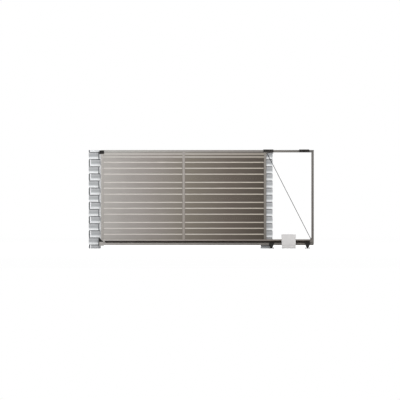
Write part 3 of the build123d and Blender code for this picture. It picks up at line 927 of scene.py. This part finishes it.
def buildGuideBrackets():
    mesh = bmesh.new()
    for name in bracketNames:
        low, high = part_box(name)
        section = bentChannel(low, high)
        bridgeRings(mesh, [[Vector((x, y, z)) for y, z in section] for x in (low.x, high.x)])
    under = high.z - guides["plate"] + guides["nutSunk"]
    for low, high in solidBoxes("guide_rollers"):
        place = ((low.x + high.x) / 2, (low.y + high.y) / 2, high.z)
        addHexagon(mesh, place, (0, 0, 1), guides["nut"], under - high.z)
    finishPiece("guideBrackets", mesh, "black_steel", ["blackBracketPaint"], bracketNames, 30)


def buildGuideRollers():
    # nylon rollers on bolts that hang from the brackets
    rollers = bmesh.new()
    bolts = bmesh.new()
    shank = guides["shank"]
    for low, high in solidBoxes("guide_rollers"):
        x = (low.x + high.x) / 2
        y = (low.y + high.y) / 2
        radius = (high.x - low.x) / 2
        tall = high.z - low.z
        half = guides["hub"] + [(radius - inset, up) for inset, up in guides["rim"]]
        profile = half + [(across, tall - up) for across, up in reversed(half)] + half[:1]
        addLathe(rollers, (x, y, low.z), (0, 0, 1), profile, 40)
        addBolt(bolts, (x, y, low.z + guides["boltSunk"]), (0, 0, -1), guides["bolt"])
        profile = [(0, 0), (shank, 0), (shank, tall), (0, tall)]
        addLathe(bolts, (x, y, low.z), (0, 0, 1), profile, 16)
    finishPiece("guideNylons", rollers, "roller_nylon", ["whiteRollerNylon"], ["guide_rollers"])
    finishPiece("guideBolts", bolts, *zinc)


# a plate is what the bolt's head stands on
fixings = dict(
    bolt=0.008,
    guide=dict(plate=0.004, fromLeft=0.09, fromRight=0.01, height=2.43),
    armPad=dict(plate=0.008, heights=(2.385, 2.435), across=(-0.072, -0.048)),
    catchers=dict(plate=0.006, heights=(2.385, 2.425, 0.09, 0.14), across=(-0.11, -0.065)),
)


def buildBracketBolts():
    # fixings of the front guide, the arm's pad and both catchers
    mesh = bmesh.new()
    guide = fixings["guide"]
    low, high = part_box("right_pillar")
    for x in (low.x + guide["fromLeft"], high.x - guide["fromRight"]):
        place = (x, low.y - guide["plate"], guide["height"])
        addBolt(mesh, place, (0, -1, 0), fixings["bolt"])
    for node, name in (("right_pillar", "armPad"), ("left_pillar", "catchers")):
        fixing = fixings[name]
        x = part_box(node)[1].x + fixing["plate"]
        for z in fixing["heights"]:
            for y in fixing["across"]:
                addBolt(mesh, (x, y, z), (1, 0, 0), fixings["bolt"])
    finishPiece("bracketBolts", mesh, *zinc)


buildGuideBrackets()
buildGuideRollers()
buildBracketBolts()
print("guides dressed")


catcher = dict(
    pad=((0.1305, -0.262, 2.372), (0.1385, -0.188, 2.44)), padSoft=0.002,
    rib=((0.1385, -0.258, 2.385), (0.1425, -0.192, 2.397)), ribSoft=0.0018, ribs=3, ribPitch=0.021,
    weld=0.0026, forkWeldX=0.13,
    forkWeldSides=[(-0.269, 1), (-0.181, -1)],  # place across and lean
    forkWeldInset=0.002, gussetInset=(0.004, 0.003, 0.0005),
)


def buildCatcherPads():
    # rubber pads on the inside of the forked bracket
    mesh = bmesh.new()
    addBox(mesh, *catcher["pad"], catcher["padSoft"])
    for i in range(catcher["ribs"]):
        up = i * catcher["ribPitch"]
        low, high = [(x, y, z + up) for x, y, z in catcher["rib"]]
        addBox(mesh, low, high, catcher["ribSoft"])
    finishPiece("catcherPads", mesh, "black_steel", ["blackBufferRubber"])


def buildCatcherWelds():
    mesh = bmesh.new()
    radius = catcher["weld"]
    low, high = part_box("upper_catcher")
    x = catcher["forkWeldX"]
    inset = catcher["forkWeldInset"]
    for y, lean in catcher["forkWeldSides"]:
        addWeld(mesh, (x, y, low.z + inset), (x, y, high.z - inset), radius, (1, lean, 0))
    low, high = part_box("lower_catcher_gussets")
    along, across, up = catcher["gussetInset"]
    z = low.z + up
    for y in (low.y + across, high.y - across):
        addWeld(mesh, (low.x + along, y, z), (high.x - along, y, z), radius, (0, 0, 1))
    finishPiece("catcherWelds", mesh, "black_steel", ["blackBracketPaint"], smooth=60)


buildCatcherPads()
buildCatcherWelds()
print("catchers dressed")


drive = dict(
    shaftReach=0.038, slopeStart=0.12, slope=0.034, round=0.010, roundSteps=5, leastRound=0.002,
    seam=0.086,
    # height from the seam and depth
    seamGroove=[
        (-0.0025, 0), (-0.0018, 0), (-0.0008, 0.0028), (0.0008, 0.0028), (0.0018, 0), (0.0025, 0),
    ],
    seamShade=0.0015, topRound=0.010, topSteps=5, topRim=0.001, anchor=0.010, anchorStud=0.012,
    anchorSpread=0.14, anchorPlaces=(-0.528, -0.298), screw=dict(radius=0.0055, high=0.0022),
    screwHeight=0.06, screwPlaces=(-0.35, -0.476),
    # from the drive's middle, with the height above the ground
    door=((0.075, 0.03), (0.135, 0.074)), doorStands=0.0012, doorSunk=0.004, doorSoft=0.0011,
    keyCover=[(0, 0), (0.011, 0), (0.0105, 0.0022), (0.008, 0.003), (0, 0.003)],
    keyPlace=(0.105, 0.001, 0.052),
    shaft=[
        (0, -0.001), (0.024, -0.001), (0.024, 0.0016), (0.0145, 0.0032), (0.0145, 0.0055),
        (0.010, 0.0065), (0.010, 0.036), (0.0092, 0.0375), (0.004, 0.038), (0.003, 0.0365), (0, 0.0365),
    ],
)
housingLow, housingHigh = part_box("operator_housing")
driveX = (housingLow.x + housingHigh.x) / 2
housingBack = housingHigh.y - drive["shaftReach"]


def housingOutline(z, shrink):
    # rounded rectangle of the housing at a height, as points going round
    half = (housingHigh.x - housingLow.x) / 2 - shrink
    share = max(0.0, (z - drive["slopeStart"]) / (housingHigh.z - drive["slopeStart"]))
    front = housingLow.y + drive["slope"] * share + shrink
    back = housingBack - shrink
    radius = max(drive["round"] - shrink / 2, drive["leastRound"])
    outline = roundedOutline(half, (back - front) / 2, radius, drive["roundSteps"])
    return [Vector((driveX + point.x, (back + front) / 2 + point.y, z)) for point in outline]


def buildHousing():
    mesh = bmesh.new()
    seam = drive["seam"]
    levels = [(housingLow.z, 0.0)]
    levels += [(seam + up, depth) for up, depth in drive["seamGroove"]]
    levels.append((drive["slopeStart"], 0.0))
    top = housingHigh.z
    bend = drive["topRound"]
    for i in range(drive["topSteps"] + 1):
        angle = math.pi / 2 * i / drive["topSteps"]
        levels.append((top - bend + bend * math.sin(angle), bend * (1 - math.cos(angle))))
    levels.append((top, bend + drive["topRim"]))
    bridgeRings(mesh, [housingOutline(z, shrink) for z, shrink in levels])
    for face in mesh.faces:
        if abs(face.calc_center_median().z - seam) < drive["seamShade"]:
            face.material_index = 1
    looks = ["paleHousingPlastic", "housingSeamShade"]
    finishPiece("driveHousing", mesh, "housing_plastic", looks, ["operator_housing"])


def buildHousingDetails():
    # release door with its key cover on the front, and the screws that hold the cover
    mesh = bmesh.new()
    front = housingLow.y
    (left, foot), (right, head) = drive["door"]
    near = (driveX + left, front - drive["doorStands"], foot)
    far = (driveX + right, front + drive["doorSunk"], head)
    addBox(mesh, near, far, drive["doorSoft"])
    along, stands, up = drive["keyPlace"]
    keyPlace = (driveX + along, front - stands, up)
    addLathe(mesh, keyPlace, (0, -1, 0), drive["keyCover"], 32)
    finishPiece("releaseDoor", mesh, "housing_plastic", ["paleHousingPlastic"])
    screws = bmesh.new()
    for x, side in ((housingLow.x, -1), (housingHigh.x, 1)):
        for y in drive["screwPlaces"]:
            addSocketScrew(screws, (x, y, drive["screwHeight"]), (side, 0, 0), **drive["screw"])
    finishPiece("coverScrews", screws, *zinc)


def buildDriveShaft():
    mesh = bmesh.new()
    low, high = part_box("pinion")
    place = (driveX, housingBack, (low.z + high.z) / 2)
    addLathe(mesh, place, (0, 1, 0), drive["shaft"], 36)
    finishPiece("driveShaft", mesh, "gear_steel", ["turnedRollerSteel"], ["operator_housing"])


def buildDriveAnchors():
    mesh = bmesh.new()
    spread = drive["anchorSpread"]
    for dx in (-spread, spread):
        for y in drive["anchorPlaces"]:
            foot = (driveX + dx, y, housingLow.z)
            addBolt(mesh, foot, (0, 0, 1), drive["anchor"], drive["anchorStud"])
    finishPiece("driveAnchors", mesh, *zinc)


buildHousing()
buildHousingDetails()
buildDriveShaft()
buildDriveAnchors()
print("drive built")


endPlate = dict(
    corner=0.007, cornerSteps=6, soft=0.0006,
    screw=0.0045, screwHigh=0.0016, screwSpread=(0.0303, 0.02),
)


def buildRailCap():
    # plate that closes the running rail, held by four screws
    low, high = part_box("rail_end_cap")
    middle = (low + high) / 2
    soft = endPlate["soft"]
    face = high.x - endPlate["screwHigh"]
    wide = (high.y - low.y) / 2
    tall = (high.z - low.z) / 2
    bend = (endPlate["corner"], endPlate["cornerSteps"])
    full = roundedOutline(wide, tall, *bend)
    trimmed = roundedOutline(wide - soft, tall - soft, *bend)
    rings = []
    for outline, x in ((full, low.x), (full, face - soft), (trimmed, face)):
        rings.append(placeOutline(outline, middle, 0, x))
    mesh = bmesh.new()
    bridgeRings(mesh, rings)
    finishPiece("railCap", mesh, "frame_paint", ["taupeRailPaint"], ["rail_end_cap"], body="leaf")
    screws = bmesh.new()
    spreadY, spreadZ = endPlate["screwSpread"]
    for y in (middle.y - spreadY, middle.y + spreadY):
        for z in (middle.z - spreadZ, middle.z + spreadZ):
            addSocketScrew(screws, (face, y, z), (1, 0, 0), endPlate["screw"], endPlate["screwHigh"])
    finishPiece("railCapScrews", screws, *zinc, ["rail_end_cap"], body="leaf")


buildRailCap()
print("rail cap added")


studio = dict(
    floor=40.0, floorDrop=0.0005, floorTone=(0.9, 0.9, 0.9, 1.0), floorRoughness=0.95, cameraLift=0.5,
    skyTone=(1.0, 1.0, 1.0, 1.0), skyLight=0.545, lensLength=500.0, sensor=36, clip=(1.0, 600.0),
    frameWidth=9.99, aim=(2.633, 1.2115), lampAim=(2.6, 0.0, 1.0),
    lamps=dict(
        frontKey=dict(place=(3.6, -13.0, 4.6), size=6.0, power=775.0),
        leftFill=dict(place=(-9.0, -7.0, 6.0), size=6.0, power=110.0),
        rightFill=dict(place=(13.0, -10.0, 4.0), size=6.0, power=80.0),
        rearFill=dict(place=(6.0, 12.0, 6.0), size=6.0, power=520.0),
    ),
)


def buildFloor():
    mesh = bmesh.new()
    half = studio["floor"]
    z = -studio["floorDrop"]
    corners = [(-half, -half, z), (half, -half, z), (half, half, z), (-half, half, z)]
    mesh.faces.new([mesh.verts.new(corner) for corner in corners])
    floor = addObject("studioFloor", mesh)
    material, tree, shader = newMaterial("paleStudioFloor")
    feed(tree, shader, {
        "Base Color": studio["floorTone"], "Roughness": studio["floorRoughness"],
        "Specular IOR Level": 0.0,
    })
    rays = addNode(tree, "LightPath")
    lift = addMath(tree, "MULTIPLY", rays.outputs["Is Camera Ray"], studio["cameraLift"])
    glow = addNode(tree, "Emission", {"Strength": lift})
    both = addNode(tree, "AddShader", {0: shader.outputs["BSDF"], 1: glow.outputs["Emission"]})
    feed(tree, tree.nodes["Material Output"], {"Surface": both.outputs["Shader"]})
    floor.data.materials.append(material)


def buildSky():
    # white where it is seen directly, in gloss or through glass, and softer as light
    world = bpy.data.worlds.new("studioSky")
    bpy.context.scene.world = world
    world.use_nodes = True
    tree = world.node_tree
    tree.nodes.clear()
    tone = studio["skyTone"]
    shown = addNode(tree, "Background", {"Color": tone, "Strength": 1.0})
    lighting = addNode(tree, "Background", {"Color": tone, "Strength": studio["skyLight"]})
    rays = addNode(tree, "LightPath")
    direct = rays.outputs["Is Camera Ray"]
    for name in ("Is Glossy Ray", "Is Transmission Ray"):
        direct = addMath(tree, "MAXIMUM", direct, rays.outputs[name])
    backgrounds = {"Fac": direct, 1: lighting.outputs["Background"], 2: shown.outputs["Background"]}
    mix = addNode(tree, "MixShader", backgrounds)
    addNode(tree, "OutputWorld", {"Surface": mix.outputs["Shader"]})


def addLamp(name, place, size, power):
    data = bpy.data.lights.new(name, "AREA")
    data.shape = "DISK"
    data.size = size
    data.energy = power
    lamp = addObject(name, data)
    lamp.location = place
    aim = Vector(studio["lampAim"]) - Vector(place)
    lamp.rotation_euler = aim.to_track_quat("-Z", "Y").to_euler()


def buildCamera():
    distance = studio["frameWidth"] * studio["lensLength"] / studio["sensor"]
    data = bpy.data.cameras.new("frontCamera")
    data.lens = studio["lensLength"]
    data.sensor_width = studio["sensor"]
    data.clip_start, data.clip_end = studio["clip"]
    camera = addObject("frontCamera", data)
    x, z = studio["aim"]
    camera.location = (x, beamLow.y - distance, z)
    camera.rotation_euler = (math.radians(90), 0, 0)
    bpy.context.scene.camera = camera


buildFloor()
buildSky()
for name, lamp in studio["lamps"].items():
    addLamp(name, **lamp)
buildCamera()
bpy.context.scene.view_settings.view_transform = "Standard"
print("stage set")
